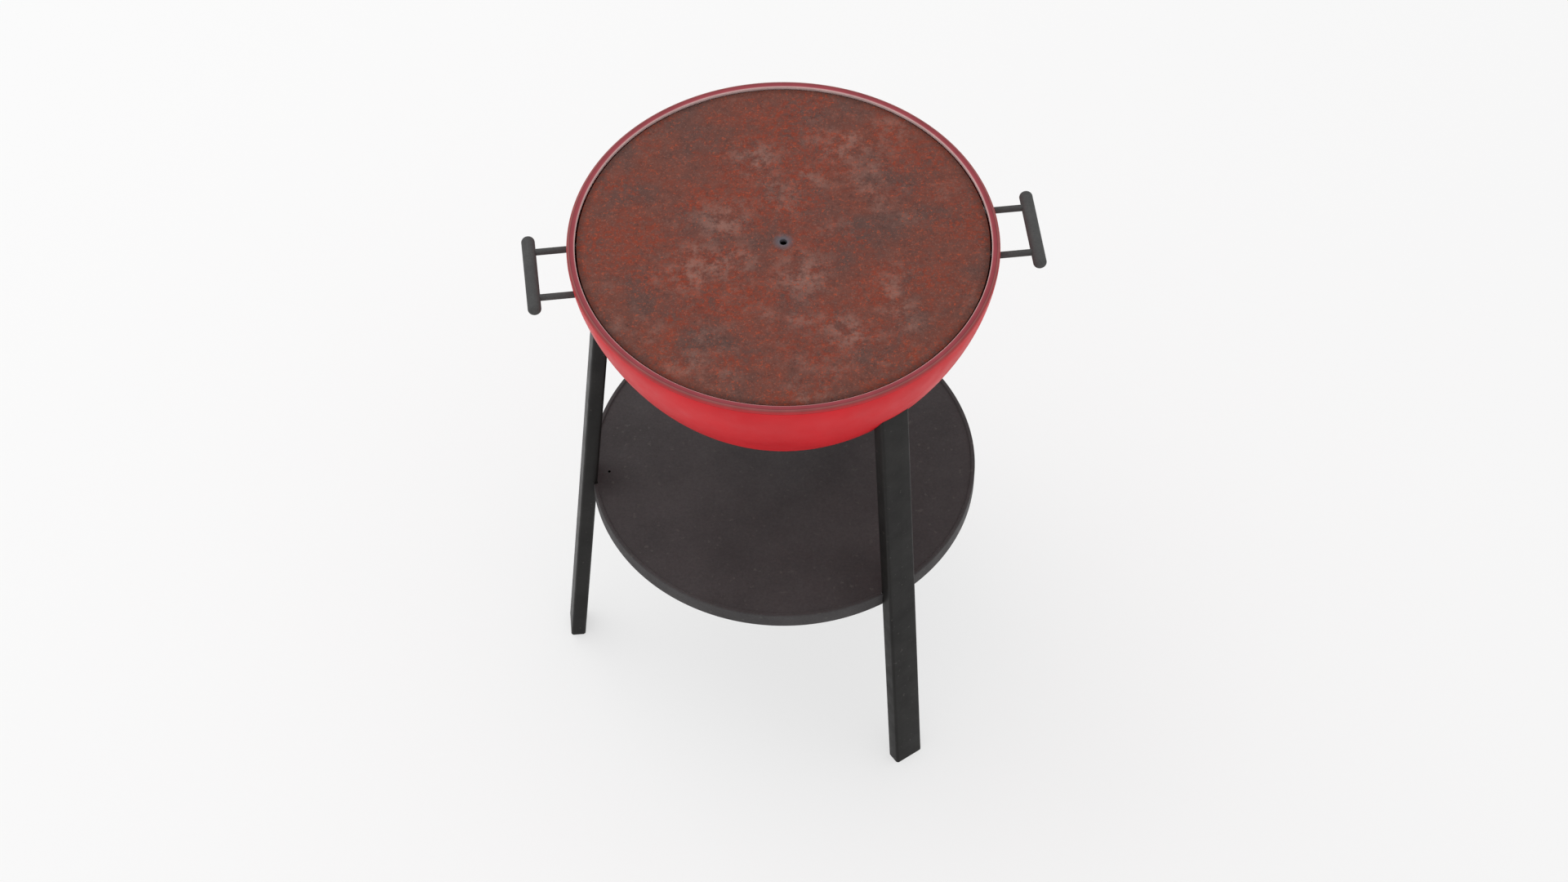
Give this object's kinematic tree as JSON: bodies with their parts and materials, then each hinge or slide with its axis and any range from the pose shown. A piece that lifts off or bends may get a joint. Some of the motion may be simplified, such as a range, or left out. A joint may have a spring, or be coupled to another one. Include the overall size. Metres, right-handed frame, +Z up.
{
  "type": "coal forge",
  "caption": "Coal forge: enamelled steel bowl with loose hearth plate and side handles on splayed legs, round ash shelf, cast tuyere with air damper and weighted ash flap.",
  "frame": {"origin": "on the floor, under the centre of the bowl", "axes": "+Z up; +X through the handles, away from the leg that stands under the left handle; +Y towards the air inlet at the back"},
  "size_m": [0.684, 0.5773, 0.853],
  "materials": {
    "red_enamel": "gloss red enamel, duller towards the rim",
    "rim_enamel": "dull dark red enamel, satin",
    "rusted_steel": "matt brown rust with orange-red specks and pale worn patches",
    "dark_steel": "matt dark steel, sooty",
    "handle_paint": "matt dark grey paint",
    "leg_paint": "satin black paint",
    "shelf_paint": "satin charcoal paint with soot smudges",
    "zinc_steel": "plain zinc-plated steel",
    "cast_iron": "rough cast iron",
    "black_plastic": "matt black moulded plastic"
  },
  "bodies": {
    "stand": {"ash_flap_pin": "zinc_steel", "blast_pipe": "cast_iron", "bowl": "red_enamel", "flange_bolt_1": "zinc_steel", "flange_bolt_2": "zinc_steel", "flange_bolt_3": "zinc_steel", "flange_nut_1": "zinc_steel", "flange_nut_2": "zinc_steel", "flange_nut_3": "zinc_steel", "foot_plug_front": "black_plastic", "foot_plug_left": "black_plastic", "foot_plug_rear": "black_plastic", "handle_grip_left": "handle_paint", "handle_grip_right": "handle_paint", "handle_rod_left_a": "handle_paint", "handle_rod_left_b": "handle_paint", "handle_rod_right_a": "handle_paint", "handle_rod_right_b": "handle_paint", "leg_block_front": "leg_paint", "leg_block_left": "leg_paint", "leg_block_rear": "leg_paint", "leg_bolt_front_a": "zinc_steel", "leg_bolt_front_b": "zinc_steel", "leg_bolt_left_a": "zinc_steel", "leg_bolt_left_b": "zinc_steel", "leg_bolt_rear_a": "zinc_steel", "leg_bolt_rear_b": "zinc_steel", "leg_front": "leg_paint", "leg_left": "leg_paint", "leg_rear": "leg_paint", "plate_ledge_1": "dark_steel", "plate_ledge_2": "dark_steel", "plate_ledge_3": "dark_steel", "rim_band": "rim_enamel", "rod_nut_left_a": "zinc_steel", "rod_nut_left_b": "zinc_steel", "rod_nut_right_a": "zinc_steel", "rod_nut_right_b": "zinc_steel", "rod_washer_left_a": "zinc_steel", "rod_washer_left_b": "zinc_steel", "rod_washer_right_a": "zinc_steel", "rod_washer_right_b": "zinc_steel", "shelf": "shelf_paint", "shelf_bracket_front": "leg_paint", "shelf_bracket_left": "leg_paint", "shelf_bracket_rear": "leg_paint", "shelf_rivet_front": "shelf_paint", "shelf_rivet_left": "shelf_paint", "shelf_rivet_rear": "shelf_paint", "shelf_screw_front": "zinc_steel", "shelf_screw_left": "zinc_steel", "shelf_screw_rear": "zinc_steel", "tuyere_body": "cast_iron"},
    "hearth": {"hearth_plate": "rusted_steel"},
    "flap": {"ash_flap": "cast_iron", "ash_flap_weight": "cast_iron"},
    "damper": {"damper_disc": "zinc_steel", "damper_spindle": "zinc_steel", "damper_lever": "zinc_steel", "damper_knob": "black_plastic"}
  },
  "joints": [
    {"name": "plate_lift", "type": "slide", "parent": "stand", "child": "hearth", "axis": [0, 0, 1], "range_m": [0, 0.06]},
    {"name": "ash_flap_hinge", "type": "hinge", "parent": "stand", "child": "flap", "pos_m": [0.04, 0, 0.4512], "axis": [0, -1, 0], "range_deg": [0, 75]},
    {"name": "damper_turn", "type": "hinge", "parent": "stand", "child": "damper", "pos_m": [0, 0.092, 0.4987], "axis": [0, 0, 1], "range_deg": [0, 90]}
  ]
}
